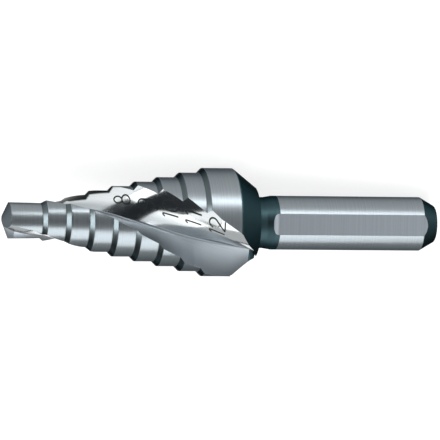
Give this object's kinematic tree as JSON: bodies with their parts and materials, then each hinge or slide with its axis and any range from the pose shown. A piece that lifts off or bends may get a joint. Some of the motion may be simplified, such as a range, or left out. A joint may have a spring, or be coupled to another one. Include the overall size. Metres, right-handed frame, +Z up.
{
  "type": "step drill",
  "caption": "Two-flute spiral step drill with stepped cutting lands, a back cone, a short neck and a round shank with flats for a chuck, lying as it comes to rest.",
  "frame": {"origin": "on the table, under the middle of the lying drill's bounding box", "axes": "+Z up, +X along the drill towards its point, its axis sloping down to the shank's end by 5.5 degrees as it rests, +Y to the side"},
  "size_m": [0.049, 0.0118, 0.011],
  "materials": {
    "ground_steel": "ground high speed steel with a black oxide zone behind the steps"
  },
  "bodies": {
    "root": {"step_drill": "ground_steel"}
  },
  "joints": []
}
